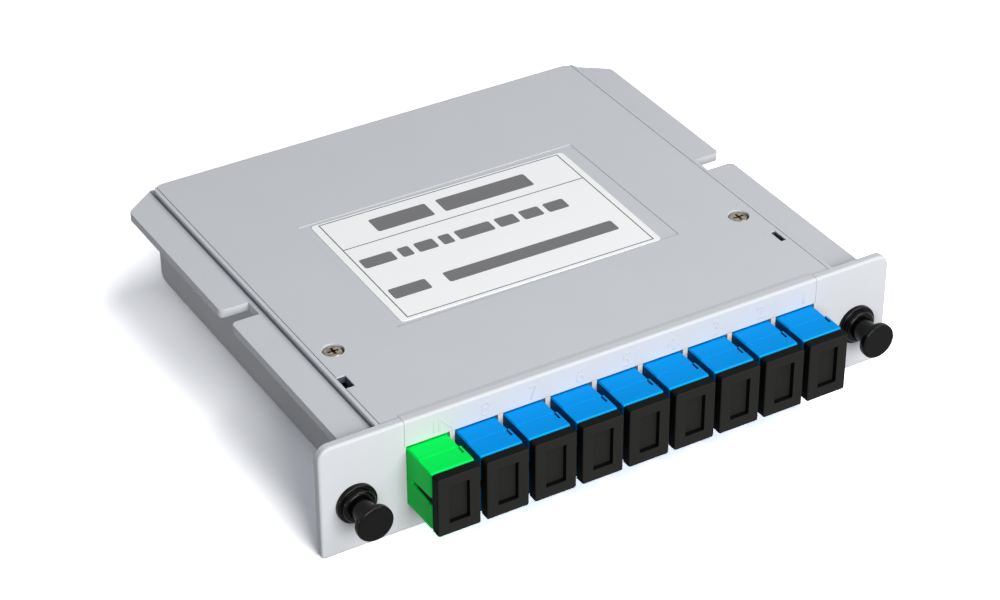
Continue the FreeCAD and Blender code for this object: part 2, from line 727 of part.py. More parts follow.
# ---------------------------------------------------------------- the ports
def make_adapter(label, index):
    """One adapter: a hollow housing with a collar trapped behind the panel."""
    body = new_body(label, port_x(index), 0, port_height)
    half_width, half_height = S["adapter_width"] / 2, S["adapter_height"] / 2
    add(body, "housing", "XZ_Plane", adapter_front, adapter_rear,
        centred_rectangle(S["adapter_width"], S["adapter_height"]))
    soften(body, "long_edges", "Fillet", S["adapter_edge_radius"],
           lambda edge: runs_along(edge, 1))
    soften(body, "front_edges", "Fillet", S["adapter_front_radius"],
           lambda edge: near(span(edge)[1][1], adapter_front) and not runs_along(edge, 2)
           and runs_along(edge, 0))
    add(body, "collar", "XZ_Plane", S["adapter_fit"], S["adapter_fit"] + S["collar_thickness"],
        centred_rectangle(collar_width, S["collar_height"]))

    relief_rear = S["side_relief_into_panel"] - S["panel_thickness"]
    relief_front = relief_rear - S["side_relief_length"]
    relief_x = half_width - S["side_relief_depth"]
    cut(body, "side_relief", "XY_Plane", -half_height - OVERRUN, half_height + OVERRUN,
        rectangle(relief_x, half_width + OVERRUN, relief_front, relief_rear))
    slit_outer = half_width - S["top_slit_inset"]
    slit_inner = slit_outer - S["top_slit_width"]
    add(body, "top_step", "XY_Plane", half_height - S["top_step_height"],
        half_height + S["top_step_height"],
        rectangle(S["adapter_edge_radius"] - half_width, slit_inner, relief_front,
                  -S["panel_thickness"] - S["adapter_fit"]))
    cut(body, "top_slit", "XY_Plane", half_height - S["top_slit_depth"], half_height + OVERRUN,
        rectangle(slit_inner, slit_outer, relief_front - S["top_slit_length"], relief_front))

    cut(body, "socket", "XZ_Plane", adapter_front - OVERRUN, adapter_rear + OVERRUN,
        centred_rectangle(socket_width, socket_height))
    mouth, end = S["key_slot_mouth"] / 2, S["key_slot_end"] / 2
    slot_end = adapter_front + S["key_slot_length"]
    cut(body, "key_slot", "YZ_Plane", -half_width - OVERRUN, 0,
        polygon((adapter_front - OVERRUN, -mouth), (slot_end, -end), (slot_end, end),
                (adapter_front - OVERRUN, mouth)))
    return body


def sleeve_diameter():
    return S["ferrule_diameter"] + 2 * (S["sleeve_fit"] + S["sleeve_wall"])


def make_sleeve_holders():
    """The moulded inner pieces that hold each alignment sleeve, one in every adapter."""
    body = new_body("sleeve_holders", 0, adapter_middle, port_height)
    play = 2 * S["inner_clearance"]
    bore = sleeve_diameter() + play
    half_plate, half_tube = S["holder_plate_thickness"] / 2, S["holder_tube_length"] / 2
    x = first_port_x
    half_socket = socket_width / 2 - S["inner_clearance"]
    features = [
        add(body, "plate", "XZ_Plane", -half_plate, half_plate,
            rectangle(x - half_socket, x + half_socket, -(socket_height - play) / 2,
                      (socket_height - play) / 2)),
        add(body, "tube", "XZ_Plane", -half_tube, half_tube,
            circle(x, 0, bore + 2 * S["holder_tube_wall"]))]
    arm_high = plug_height / 2 - S["plug_wall"] - S["holder_arm_gap"]
    arm_low = arm_high - S["holder_arm_thickness"]
    half_arm = S["holder_arm_width"] / 2
    features.append(
        add(body, "arms", "XZ_Plane", -S["holder_arm_length"], S["holder_arm_length"],
            rectangle(x - half_arm, x + half_arm, arm_low, arm_high),
            rectangle(x - half_arm, x + half_arm, -arm_high, -arm_low)))
    features.append(
        cut(body, "bore", "XZ_Plane", -half_tube - OVERRUN, half_tube + OVERRUN,
            circle(x, 0, bore)))
    row_of(body, "holder_row", features, PORTS, port_pitch * (PORTS - 1))
    return body


def make_alignment_sleeves():
    """The split ceramic sleeves."""
    body = new_body("alignment_sleeves", 0, adapter_middle, port_height)
    half_length = S["sleeve_length"] / 2
    half_slit = S["sleeve_slit"] / 2
    x = first_port_x
    features = [
        add(body, "sleeve", "XZ_Plane", -half_length, half_length,
            circle(x, 0, sleeve_diameter())),
        cut(body, "bore", "XZ_Plane", -half_length - OVERRUN, half_length + OVERRUN,
            circle(x, 0, S["ferrule_diameter"] + 2 * S["sleeve_fit"])),
        cut(body, "slit", "XZ_Plane", -half_length - OVERRUN, half_length + OVERRUN,
            rectangle(x - half_slit, x + half_slit, 0, sleeve_diameter()))]
    row_of(body, "sleeve_row", features, PORTS, port_pitch * (PORTS - 1))
    return body


def make_connector(label, index):
    """The plug that sits in an adapter from behind: hollow nose, solid grip."""
    body = new_body(label, port_x(index), 0, port_height)
    hollow_end = plug_nose + S["plug_hollow_length"]
    wall = 2 * S["plug_wall"]
    add(body, "housing", "XZ_Plane", plug_nose, plug_tail,
        centred_rectangle(plug_width, plug_height))
    cut(body, "nose", "XZ_Plane", plug_nose - OVERRUN, hollow_end,
        centred_rectangle(plug_width - wall, plug_height - wall))
    ferrule_end = adapter_middle + S["ferrule_length"]
    cut(body, "ferrule_seat", "XZ_Plane", hollow_end - OVERRUN, ferrule_end,
        circle(0, 0, S["ferrule_diameter"] + 2 * S["inner_clearance"]))
    cut(body, "fibre_bore", "XZ_Plane", hollow_end, plug_tail + OVERRUN,
        circle(0, 0, fibre_bore))
    groove, half_height = S["plug_groove"], plug_height / 2
    floor = half_height - S["plug_groove_depth"]
    for step in (1, 3):
        start = plug_tail - (step + 1) * groove
        for side, low, high in (("top", floor, half_height + OVERRUN),
                                ("bottom", -half_height - OVERRUN, -floor)):
            cut(body, f"{side}_grip_{step}", "XY_Plane", low, high,
                rectangle(-plug_width, plug_width, start, start + groove))
    return body


def make_ferrules():
    """The ceramic ferrules; each one's tip stands at the middle of its sleeve."""
    body = new_body("ferrules", 0, adapter_middle + S["inner_clearance"], port_height)
    length = S["ferrule_length"] - 2 * S["inner_clearance"]
    ferrule = add(body, "ferrule", "XZ_Plane", 0, length,
                  circle(first_port_x, 0, S["ferrule_diameter"]))
    row_of(body, "ferrule_row", [ferrule], PORTS, port_pitch * (PORTS - 1))
    return body


def make_strain_boots():
    """Tapered boots behind the plugs, each with a bore for its fibre."""
    body = new_body("strain_boots", first_port_x, 0, port_height)
    bore, root, tip = fibre_bore / 2, S["boot_root_diameter"] / 2, S["boot_tip_diameter"] / 2
    boot = turned(body, "boot", (bore, plug_tail), (root, plug_tail), (tip, boot_end),
                  (bore, boot_end))
    row_of(body, "boot_row", [boot], PORTS, port_pitch * (PORTS - 1))
    return body


def make_dust_cap(label, index):
    """A cap: a flat head, a hollow skirt that pushes into the socket, and a key in its slot."""
    body = new_body(label, port_x(index), 0, port_height)
    head_back = adapter_front - S["cap_seat_gap"]
    head_front = head_back - S["cap_thickness"]
    half_width = S["adapter_width"] / 2 - S["cap_side_inset"]
    half_height = S["adapter_height"] / 2
    add(body, "head", "XZ_Plane", head_front, head_back,
        rectangle(-half_width, half_width, -half_height - S["cap_below_adapter"],
                  half_height - S["cap_top_inset"]))
    soften(body, "head_corners", "Fillet", S["cap_corner_radius"],
           lambda edge: runs_along(edge, 1))
    soften(body, "head_front", "Fillet", S["cap_front_radius"],
           lambda edge: near(span(edge)[0][1], head_front) and near(span(edge)[1][1], head_front))
    skirt_width = socket_width - 2 * S["cap_skirt_clearance"]
    skirt_height = socket_height - 2 * S["cap_skirt_clearance"]
    skirt_end = head_back + S["cap_skirt_length"]
    wall = 2 * S["cap_skirt_wall"]
    add(body, "skirt", "XZ_Plane", head_back - S["cap_thickness"] / 4, skirt_end,
        centred_rectangle(skirt_width, skirt_height))
    cut(body, "skirt_hollow", "XZ_Plane", head_back, skirt_end + OVERRUN,
        centred_rectangle(skirt_width - wall, skirt_height - wall))
    key_root = head_back - S["cap_thickness"] / 4
    key_end = skirt_end - S["cap_key_gap"]
    root = S["key_slot_mouth"] / 2 - 2 * S["cap_skirt_clearance"]
    tip = S["key_slot_end"] / 2 - S["cap_skirt_clearance"]
    add(body, "key", "YZ_Plane", S["cap_key_inset"] - S["adapter_width"] / 2,
        (S["cap_skirt_wall"] - skirt_width) / 2,
        polygon((key_root, -root), (key_end, -tip), (key_end, tip), (key_root, root)))
    cut(body, "face_recess", "XZ_Plane", head_front - OVERRUN,
        head_front + S["cap_recess_depth"],
        centred_rectangle(S["cap_recess_width"], S["cap_recess_height"]))
    return body


# ---------------------------------------------------------------- the latches
def make_grommet(label, side):
    """The latch's grommet: a flange in front of the ear, a neck in its hole, slit legs behind."""
    body = new_body(label, side * half_latches, 0, S["latch_height"])
    front = -S["panel_thickness"]
    bore = S["plunger_diameter"] / 2 + S["plunger_clearance"]
    flange, collar = S["grommet_flange_diameter"] / 2, S["grommet_collar_diameter"] / 2
    neck, shank = S["grommet_neck_diameter"] / 2, S["grommet_shank_diameter"] / 2
    shank_end = S["grommet_shank_length"]
    flange_face = front - S["grommet_flange_thickness"]
    collar_face = flange_face - S["grommet_collar_height"]
    turned(body, "grommet", (bore, collar_face), (collar, collar_face), (collar, flange_face),
           (flange, flange_face), (flange, front), (neck, front), (neck, S["adapter_fit"]),
           (shank, S["adapter_fit"]), (shank, shank_end), (bore, shank_end))

    def rim_at(y, radius):
        def wanted(edge):
            low, high = span(edge)
            return (near(low[1], y) and near(high[1], y)
                    and near(high[0], radius) and near(low[0], -radius))
        return wanted
    soften(body, "flange_rim", "Fillet", S["grommet_flange_radius"], rim_at(flange_face, flange))
    soften(body, "collar_rim", "Fillet", S["grommet_collar_radius"], rim_at(collar_face, collar))
    along, across = (shank + OVERRUN) * DIAGONAL, S["grommet_slit"] / 2 * DIAGONAL
    corners = [(along - across, along + across), (-along - across, across - along),
               (across - along, -along - across), (along + across, along - across)]
    for name, turn in (("rising_slit", 1), ("falling_slit", -1)):
        cut(body, name, "XZ_Plane", S["grommet_slit"], shank_end + OVERRUN,
            polygon(*[(turn * x, z) for x, z in corners]))
    return body


def make_plunger(label, side):
    """The latch's plunger: a round knob on a neck that slides in the grommet."""
    body = new_body(label, side * half_latches, 0, S["latch_height"])
    knob_front = -(S["panel_thickness"] + S["knob_in_front"])
    knob_back = knob_front + S["knob_thickness"]
    knob, neck = S["knob_diameter"] / 2, S["plunger_diameter"] / 2
    tip = neck - S["plunger_taper"] / 2
    turned(body, "plunger", (0, knob_front), (knob, knob_front), (knob, knob_back),
           (neck, knob_back), (neck, S["plunger_tail"] - S["plunger_taper"]),
           (tip, S["plunger_tail"]), (0, S["plunger_tail"]))
    soften(body, "knob_rims", "Fillet", S["knob_edge_radius"],
           lambda edge: near(span(edge)[1][0], knob) and near(span(edge)[0][0], -knob))
    return body


# ---------------------------------------------------------------- the splitter and its fibres
def make_splitter_module():
    """The splitter chip's steel housing."""
    body = new_body("splitter_module", 0, module_y, port_height)
    add(body, "housing", "YZ_Plane", module_left, module_right,
        centred_rectangle(S["module_width"], S["module_height"]))
    soften(body, "long_edges", "Fillet", S["module_edge_radius"],
           lambda edge: runs_along(edge, 0))
    return body


def make_module_boot(label, low, high, bore_width):
    """The soft sleeve where fibres leave the module."""
    body = new_body(label, 0, module_y, port_height)
    add(body, "boot", "YZ_Plane", low, high,
        centred_rectangle(bore_width + 2 * S["module_boot_side_wall"], S["module_boot_height"]))
    cut(body, "fibre_way", "YZ_Plane", low - OVERRUN, high + OVERRUN,
        centred_rectangle(bore_width, fibre_bore))
    return body


class Route:
    """A path of straight runs and tangent arcs in one level plane."""

    def __init__(self, x, y, z, heading):
        self.place = Vector(x, y, z)
        self.heading = heading
        self.edges = []
        self.radii = []

    def direction(self):
        return Vector(math.cos(self.heading), math.sin(self.heading), 0)

    def run(self, length):
        if length > NEAR:
            end = self.place + self.direction() * length
            self.edges.append(Part.LineSegment(self.place, end).toShape())
            self.place = end
        return self

    def turn(self, radius, angle):
        """Turn by an angle, positive to the left."""
        side = math.copysign(1, angle)
        forward = self.direction()
        to_centre = Vector(-forward.y, forward.x, 0) * side * radius
        centre = self.place + to_centre

        def point(share):
            spin = FreeCAD.Rotation(Vector(0, 0, 1), math.degrees(angle * share))
            return centre - spin.multVec(to_centre)
        self.edges.append(Part.Arc(self.place, point(0.5), point(1)).toShape())
        self.radii.append(round(radius, 1))
        self.place = point(1)
        self.heading += angle
        return self

    def tube(self, label, diameter):
        """A solid of round section along the path."""
        path = Part.Wire(self.edges)
        start = self.edges[0].Vertexes[0].Point
        normal = self.edges[0].tangentAt(self.edges[0].FirstParameter)
        section = Part.Wire(Part.Circle(start, normal, diameter / 2).toShape())
        solid = path.makePipeShell([section], True, False)
        expected = math.pi * diameter ** 2 / 4 * path.Length
        if abs(solid.Volume / expected - 1) > 0.01:
            raise ValueError(f"{label}: volume {solid.Volume:.1f}, expected {expected:.1f}")
        node = doc.addObject("Part::Feature", label)
        node.Label = label
        node.Shape = solid
        print(f"{label}: {path.Length:.1f} mm, radii {self.radii}")
        return node


def make_output_fibre(number):
    """One output fibre: out of the module, round the loop, and fanned out to its plug."""
    lane = number - 1
    radius = (loop_outer_radius - fibre_pitch * lane).number
    fan = S["fan_radius"].number
    port = port_x(PORTS - number).number
    sideways = loop_x.number + radius - port
    share = min(1.0, sideways / (radius + fan))
    angle = math.acos(1 - share)
    route = Route(module_right.number, loop_y.number + radius, port_height.number, 0)
    route.run((loop_x - module_right).number)
    route.turn(radius, -math.pi / 2)
    route.turn(radius, -angle)
    route.run(sideways - share * (radius + fan))
    route.turn(fan, angle)
    route.run(route.place.y - (adapter_middle + S["ferrule_length"] + S["inner_clearance"]).number)
    return route.tube(f"output_fibre_{number}", S["fibre_diameter"].number)


def make_input_fibre():
    """The input fibre: from its plug straight back, then round into the module."""
    boot_tip = module_left - S["module_boot_length"] - S["module_boot_gap"]
    radius = (boot_tip - first_port_x).number
    start = (adapter_middle + S["ferrule_length"] + S["inner_clearance"]).number
    route = Route(port_x(0).number, start, port_height.number, math.pi / 2)
    route.run(module_y.number - radius - start)
    route.turn(radius, -math.pi / 2)
    route.run(module_left.number - route.place.x)
    return route.tube("input_fibre", S["fibre_diameter"].number)


# ---------------------------------------------------------------- every piece
def port_names(stem):
    """Names from left to right, seen from the front: the input port, then outputs 8 down to 1."""
    return [f"{stem}_in"] + [f"{stem}_out_{number}" for number in range(OUTPUTS, 0, -1)]


def make_all():
    pieces = [make_base_tray(), make_top_cover(), make_label()]
    for name, side in (("left", -1), ("right", 1)):
        pieces.append(make_cover_screw(f"cover_screw_{name}", side))
        pieces.append(make_grommet(f"grommet_{name}", side))
        pieces.append(make_plunger(f"plunger_{name}", side))
    for stem, make in (("adapter", make_adapter), ("connector", make_connector),
                       ("dust_cap", make_dust_cap)):
        pieces += [make(label, index) for index, label in enumerate(port_names(stem))]
    pieces += [make_sleeve_holders(), make_alignment_sleeves(), make_ferrules(),
               make_strain_boots(), make_splitter_module()]
    boot, ribbon = S["module_boot_length"], fibre_pitch * (OUTPUTS - 1) + fibre_bore
    pieces.append(make_module_boot("module_boot_in", module_left - boot, module_left,
                                   fibre_bore))
    pieces.append(make_module_boot("module_boot_out", module_right, module_right + boot, ribbon))
    pieces += [make_output_fibre(number) for number in range(1, OUTPUTS + 1)]
    pieces.append(make_input_fibre())
    return pieces


def check(pieces):
    """Stop if any object failed, or any piece has no sound solid."""
    for item in doc.Objects:
        if "Invalid" in item.State or "Error" in item.State:
            raise ValueError(f"{item.Label}: {item.State}")
    for piece in pieces:
        shape = piece.Shape
        if shape.isNull() or not shape.isValid() or not shape.Solids:
            raise ValueError(f"{piece.Label}: no sound solid")


pieces = make_all()
doc.recompute()
check(pieces)
os.makedirs("parts", exist_ok=True)
for piece in pieces:
    piece.Shape.exportStep(os.path.join("parts", f"{piece.Label}.step"))
print(f"{len(pieces)} nodes written")
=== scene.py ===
"""Looks of the fibre splitter cassette: finishes, print and marks, light and camera."""
import math

import bmesh
import bpy
from mathutils import Matrix, Vector


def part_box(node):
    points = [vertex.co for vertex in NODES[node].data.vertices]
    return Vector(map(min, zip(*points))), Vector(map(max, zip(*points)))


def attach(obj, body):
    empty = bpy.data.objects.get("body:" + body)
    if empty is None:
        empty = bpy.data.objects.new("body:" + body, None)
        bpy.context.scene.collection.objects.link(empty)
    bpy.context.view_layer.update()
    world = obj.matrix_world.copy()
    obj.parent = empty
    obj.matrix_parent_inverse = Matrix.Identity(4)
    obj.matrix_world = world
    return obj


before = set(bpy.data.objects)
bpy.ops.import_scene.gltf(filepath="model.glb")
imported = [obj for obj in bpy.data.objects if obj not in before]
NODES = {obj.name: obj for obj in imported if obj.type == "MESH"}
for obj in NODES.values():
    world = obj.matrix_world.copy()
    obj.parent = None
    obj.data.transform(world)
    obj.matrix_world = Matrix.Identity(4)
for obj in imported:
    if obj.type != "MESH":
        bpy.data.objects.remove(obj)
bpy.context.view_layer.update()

MM = 0.001

# the ports, from the left as seen from the front
PORT_NAMES = ["in"] + [f"out_{number}" for number in range(8, 0, -1)]
PORT_MARKS = ["IN"] + [str(number) for number in range(8, 0, -1)]


# ---------------------------------------------------------------- shader nodes
class Signal:
    """A node's output. Arithmetic on it adds Math nodes."""

    def __init__(self, nodes, socket):
        self.nodes = nodes
        self.socket = socket

    def __add__(self, other):
        return self.nodes.maths("ADD", self, other)

    def __sub__(self, other):
        return self.nodes.maths("SUBTRACT", self, other)

    def __rsub__(self, other):
        return self.nodes.maths("SUBTRACT", other, self)

    def __mul__(self, other):
        return self.nodes.maths("MULTIPLY", self, other)

    def __truediv__(self, other):
        return self.nodes.maths("DIVIDE", self, other)

    __radd__ = __add__

    def held(self):
        """The same value, kept between 0 and 1."""
        return self.nodes.maths("ADD", self, 0.0, use_clamp=True)


class Nodes:
    """A node tree, emptied and built anew."""

    def __init__(self, tree):
        self.tree = tree
        tree.nodes.clear()

    def node(self, kind, settings, sockets, output=0):
        """Add a node: its settings first, then its sockets' values or links."""
        made = self.tree.nodes.new("ShaderNode" + kind)
        for name, value in settings.items():
            setattr(made, name, value)
        for name, value in sockets.items():
            if isinstance(value, Signal):
                self.tree.links.new(value.socket, made.inputs[name])
            else:
                made.inputs[name].default_value = value
        return Signal(self, made.outputs[output]) if made.outputs else None

    def maths(self, operation, first, second, use_clamp=False):
        return self.node("Math", {"operation": operation, "use_clamp": use_clamp},
                         {0: first, 1: second})

    def rays(self, *kinds):
        """1 for rays of these kinds and 0 for all others."""
        found = 0.0
        for kind in kinds:
            found = self.node("LightPath", {}, {}, f"Is {kind} Ray") + found
        return found.held()


class Finish(Nodes):
    """One material, built from nodes."""

    def __init__(self, name):
        self.material = bpy.data.materials.new(name)
        self.material.use_nodes = True
        super().__init__(self.material.node_tree)
        self.place = self.node("TexCoord", {}, {}, "Object")

    def moved(self, centre=(0, 0, 0), scale=(1, 1, 1), turn=(0, 0, 0)):
        """Object coordinates about a centre, turned and stretched."""
        from_centre = self.node("Mapping", {"vector_type": "POINT"}, {
            "Vector": self.place, "Location": [-c for c in centre]})
        return self.node("Mapping", {"vector_type": "POINT"}, {
            "Vector": from_centre, "Rotation": turn, "Scale": scale})

    def noise(self, size, detail=2.0, where=None, rough=0.5):
        """Noise from 0 to 1, with features of about that size in millimetres."""
        return self.node("TexNoise", {}, {
            "Vector": where or self.place, "Scale": 1 / (size * MM),
            "Detail": detail, "Roughness": rough}, "Fac")

    def blended(self, factor, low, high):
        """A colour between two, by factor."""
        def four(colour):
            return colour if isinstance(colour, Signal) else (*colour, 1.0)
        return self.node("Mix", {"data_type": "RGBA"}, {0: factor, 6: four(low), 7: four(high)},
                         2)

    def varied(self, factor, colour, low, high):
        """A colour, darkened or lightened from low to high times by factor."""
        return self.blended(factor, shade(colour, low), shade(colour, high))

    def rounding(self, radius):
        """The surface's normal with its edges rounded to that radius in millimetres."""
        return self.node("Bevel", {"samples": 4}, {"Radius": radius * MM}, "Normal")

    def edges(self, rounded):
        """0 on a flat face, towards 1 on an edge that the rounding turns."""
        flat = self.node("NewGeometry", {}, {}, "Normal")
        along = self.node("VectorMath", {"operation": "DOT_PRODUCT"}, {0: rounded, 1: flat},
                          "Value")
        return ((1.0 - along) * 4.0).held()

    def facing(self, direction, start, gain):
        """0 where the face looks elsewhere, towards 1 where it looks in the direction."""
        normal = self.node("NewGeometry", {}, {}, "Normal")
        along = self.node("VectorMath", {"operation": "DOT_PRODUCT"},
                          {0: normal, 1: Vector(direction).normalized()}, "Value")
        return ((along - start) * gain).held()

    def inside(self, across, along, height):
        """1 inside two mirrored boxes, each range in millimetres, and 0 outside."""
        share = 1.0
        for axis, (low, high) in (("X", across), ("Y", along), ("Z", height)):
            place = self.node("SeparateXYZ", {}, {"Vector": self.place}, axis)
            if axis == "X":
                place = self.maths("ABSOLUTE", place, 0.0)
            share = (self.maths("GREATER_THAN", place, low * MM)
                     * self.maths("LESS_THAN", place, high * MM) * share)
        return share

    def surface(self, colour, roughness, bump=None, depth=0.01, strength=1.0, normal=None,
                **constants):
        """The shader. Bump is a height from 0 to 1, and depth its reach in millimetres."""
        sockets = {"Base Color": colour if isinstance(colour, Signal) else (*colour, 1.0),
                   "Roughness": roughness}
        if bump is not None:
            raised = {"Height": bump, "Strength": strength, "Distance": depth * MM}
            if normal is not None:
                raised["Normal"] = normal
            normal = self.node("Bump", {}, raised)
        if normal is not None:
            sockets["Normal"] = normal
        sockets.update({name.replace("_", " "): value for name, value in constants.items()})
        self.node("OutputMaterial", {},
                  {"Surface": self.node("BsdfPrincipled", {}, sockets)})
        return self.material


def linear(red, green, blue):
    """A colour written 0 to 255, as linear light."""
    def one(value):
        value /= 255
        return value / 12.92 if value <= 0.04045 else ((value + 0.055) / 1.055) ** 2.4
    return one(red), one(green), one(blue)


def shade(colour, factor):
    return tuple(min(1.0, part * factor) for part in colour)


# ---------------------------------------------------------------- finishes
# painted shade for the snap slots
PAINTED_SLOT_SHADE = linear(84, 84, 96)
# painted shade for the feet of the wall strips
PAINTED_CREASE_SHADE = linear(120, 122, 130)
WORN_INK = linear(150, 150, 150)


def moulded(name, colour, roughness, level, grain=0.25, grain_depth=0.012, soft=0.15,
            mottle=0.03, edge=1.12, streak=(1.0, 1.0, 1.0), front=None, painted_brow_highlight=0.0, painted_flank_shade=1.0,
            painted_shade_boxes=None, painted_crease_boxes=None):
    """Moulded plastic: fine grain, faint flow clouds, and soft edges, slightly paler as a
    painted highlight.

    Sizes are in millimetres. level is the shine, grain and grain_depth the size and depth of
    the surface's grain, soft the radius that edges are rounded to, mottle how much the colour
    varies, edge how much paler an edge is painted as a highlight, and streak how the clouds are
    stretched. front is the colour of faces that look forwards, painted lighter than the other
    faces, which keep the darker colour as painted shade. brow is how much paler a rounded upper
    front edge is painted as a highlight, flank how much of the colour the left and right faces
    keep under painted shade, deep the two mirrored boxes in which painted shade darkens the
    plastic, and crease those in which painted shade darkens it towards the foot.
    """
    made = Finish(name)
    clouds = made.noise(14.0, where=made.moved(scale=streak))
    specks = made.noise(grain * 3, detail=3.0)
    fine = made.noise(grain)
    rounded = made.rounding(soft)
    rims = made.edges(rounded)
    tone = made.varied((clouds * 0.75 + specks * 0.25).held(), colour, 1 - mottle, 1 + mottle)
    # painted light: faces that look forwards get a lighter colour, while all other faces keep
    # the darker one as painted shade
    if front is not None:
        tone = made.blended(made.facing((0, -1, 0), 0.5, 4.0), tone,
                            made.varied(clouds, front, 1 - mottle, 1 + mottle))
    # painted highlight: edges that the rounding turns are made paler
    tone = made.blended(rims * 0.6, tone, shade(colour, edge))
    # painted highlight on rounded upper front edges, a paler copy of the colour
    if painted_brow_highlight:
        tone = made.blended(made.facing((0, -1, 1), 0.86, 9.0) * painted_brow_highlight, tone, shade(colour, 2.4))
    # painted shade: faces that look left or right are darkened
    if painted_flank_shade < 1.0:
        shaded_sides = (made.facing((-1, 0, 0), 0.6, 3.0) + made.facing((1, 0, 0), 0.6, 3.0)).held()
        tone = made.blended(shaded_sides, tone, shade(colour, painted_flank_shade))
    # painted shade laid into the mirrored boxes, such as the snap slots
    if painted_shade_boxes is not None:
        tone = made.blended(made.inside(*painted_shade_boxes), tone, PAINTED_SLOT_SHADE)
    # painted shade in the mirrored boxes, strongest at their foot and fading upwards
    if painted_crease_boxes is not None:
        foot, head = painted_crease_boxes[2]
        height = made.node("SeparateXYZ", {}, {"Vector": made.place}, "Z")
        fade = ((head * MM - height) / ((head - foot) * MM) * 1.6).held()
        tone = made.blended(made.inside(*painted_crease_boxes) * fade, tone, PAINTED_CREASE_SHADE)
    rough = (roughness - 0.06) + clouds * 0.07 + specks * 0.05 - rims * 0.08
    return made.surface(tone, rough, fine * 0.7 + specks * 0.3, depth=grain_depth,
                        strength=0.5, normal=rounded, Specular_IOR_Level=level)


def paper(name, colour):
    """Self-adhesive label stock: satin, with faint fibres."""
    made = Finish(name)
    drawn = made.moved(scale=(1.0, 0.35, 1.0), turn=(0, 0, 0.6))
    fibres = made.noise(0.35, detail=4.0, where=drawn, rough=0.6)
    clouds = made.noise(9.0)
    tone = made.varied((fibres * 0.5 + clouds * 0.5).held(), colour, 0.975, 1.02)
    return made.surface(tone, 0.5 + fibres * 0.15, fibres, depth=0.006, strength=0.4,
                        normal=made.rounding(0.05), Specular_IOR_Level=0.25)


def ink(name, colour):
    """Printed ink: dense, a little uneven, with the paper showing through in specks."""
    made = Finish(name)
    specks = made.noise(0.12, detail=3.0, rough=0.7)
    clouds = made.noise(3.0)
    worn = ((specks - 0.45) * 1.6).held() * 0.35 + clouds * 0.12
    tone = made.blended(worn, colour, WORN_INK)
    return made.surface(tone, 0.45 + specks * 0.2, Specular_IOR_Level=0.2)


def brushed(name, colour, roughness, centre=None, tint=None):
    """Plated metal: turned rings round a centre, or drawn lines along X. tint is its stains."""
    made = Finish(name)
    if centre is None:
        lines = made.noise(0.2, detail=3.0, where=made.moved(scale=(0.04, 1.0, 1.0)))
    else:
        away = made.node("VectorMath", {"operation": "LENGTH"},
                         {0: made.moved(centre, (1.0, 1.0, 0.0))}, "Value")
        rings = made.node("CombineXYZ", {}, {"X": away, "Y": 0.0, "Z": 0.0})
        lines = made.noise(0.09, detail=3.0, where=rings)
    stains = made.noise(1.1, detail=3.0, rough=0.6)
    tone = made.varied(lines, colour, 0.86, 1.08)
    if tint is not None:
        tone = made.blended(((stains - 0.42) * 3.0).held(), tone, tint)
    return made.surface(tone, roughness + lines * 0.12 + stains * 0.08, lines, depth=0.008,
                        strength=0.6, normal=made.rounding(0.1), Metallic=1.0)


def ceramic(name, colour):
    """Polished zirconia: dense, white and glossy."""
    made = Finish(name)
    fine = made.noise(0.15)
    tone = made.varied(made.noise(1.5), colour, 0.97, 1.03)
    return made.surface(tone, 0.16 + fine * 0.08, fine, depth=0.002, strength=0.3,
                        normal=made.rounding(0.08), Specular_IOR_Level=0.6)


def jacket(name, colour):
    """A fibre's tight plastic jacket: smooth, with a faint lengthwise draw and dust."""
    made = Finish(name)
    drawn = made.noise(0.8, detail=3.0)
    dust = made.noise(0.1, rough=0.7)
    tone = made.varied((drawn * 0.7 + dust * 0.3).held(), colour, 0.93, 1.06)
    return made.surface(tone, 0.36 + drawn * 0.1 + dust * 0.08, dust, depth=0.004,
                        strength=0.4, Specular_IOR_Level=0.4)


def rubber(name, colour):
    """Soft black or white sleeve: dull, with a fine bloom."""
    made = Finish(name)
    bloom = made.noise(0.9, detail=3.0, rough=0.6)
    tone = made.varied(bloom, colour, 0.88, 1.12)
    return made.surface(tone, 0.55 + bloom * 0.18, made.noise(0.12), depth=0.01, strength=0.5,
                        normal=made.rounding(0.1), Specular_IOR_Level=0.3)


# ranges from the middle across, from the panel rearwards and upwards, in millimetres, of the
# boxes that get painted shade: the snap slots and the feet of the wall strips
SNAP_SLOTS = ((48.7, 51.0), (13.2, 17.6), (15.0, 24.9))
WALL_STRIP_FEET = ((51.97, 52.3), (0.0, 99.0), (24.05, 25.0))

# edge and brow add painted highlights to the adapters' edges
ADAPTER = {"roughness": 0.34, "level": 0.03, "grain": 0.3, "grain_depth": 0.006, "soft": 0.2,
           "mottle": 0.04, "edge": 1.2, "streak": (1.0, 0.4, 1.0), "painted_brow_highlight": 0.4}

